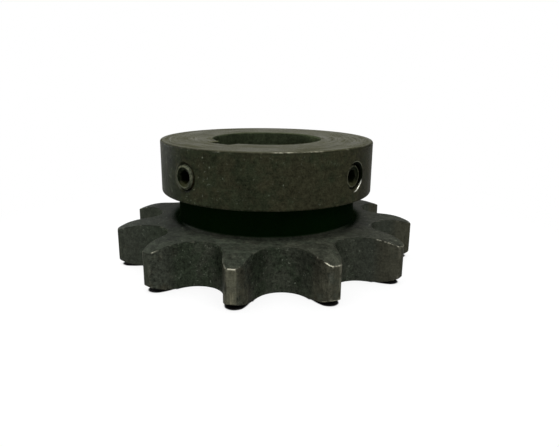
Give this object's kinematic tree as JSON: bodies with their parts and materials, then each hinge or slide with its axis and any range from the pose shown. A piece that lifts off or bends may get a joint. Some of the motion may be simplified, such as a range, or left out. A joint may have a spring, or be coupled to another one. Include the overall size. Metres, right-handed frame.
{
  "type": "chain sprocket",
  "caption": "Hubbed roller chain sprocket with a keyed bore, a grooved hub and set screws, in black oxide steel.",
  "frame": {"origin": "on the bore's axis, in the outer face of the toothed plate", "axes": "+Z along the bore towards the hub's free face; -Y through the keyway, one tooth and the first set screw; the second set screw points just past +X, 92.5 degrees round from the first"},
  "size_m": [0.1012, 0.1001, 0.0413],
  "materials": {
    "black_oxide_steel": "machined carbon steel with a dark oiled black oxide skin, worn bright on a few edges",
    "set_screw_steel": "hardened alloy steel, thin black oxide with brownish rubbed rims"
  },
  "bodies": {
    "root": {"sprocket": "black_oxide_steel", "keyway_set_screw": "set_screw_steel", "side_set_screw": "set_screw_steel"}
  },
  "joints": []
}
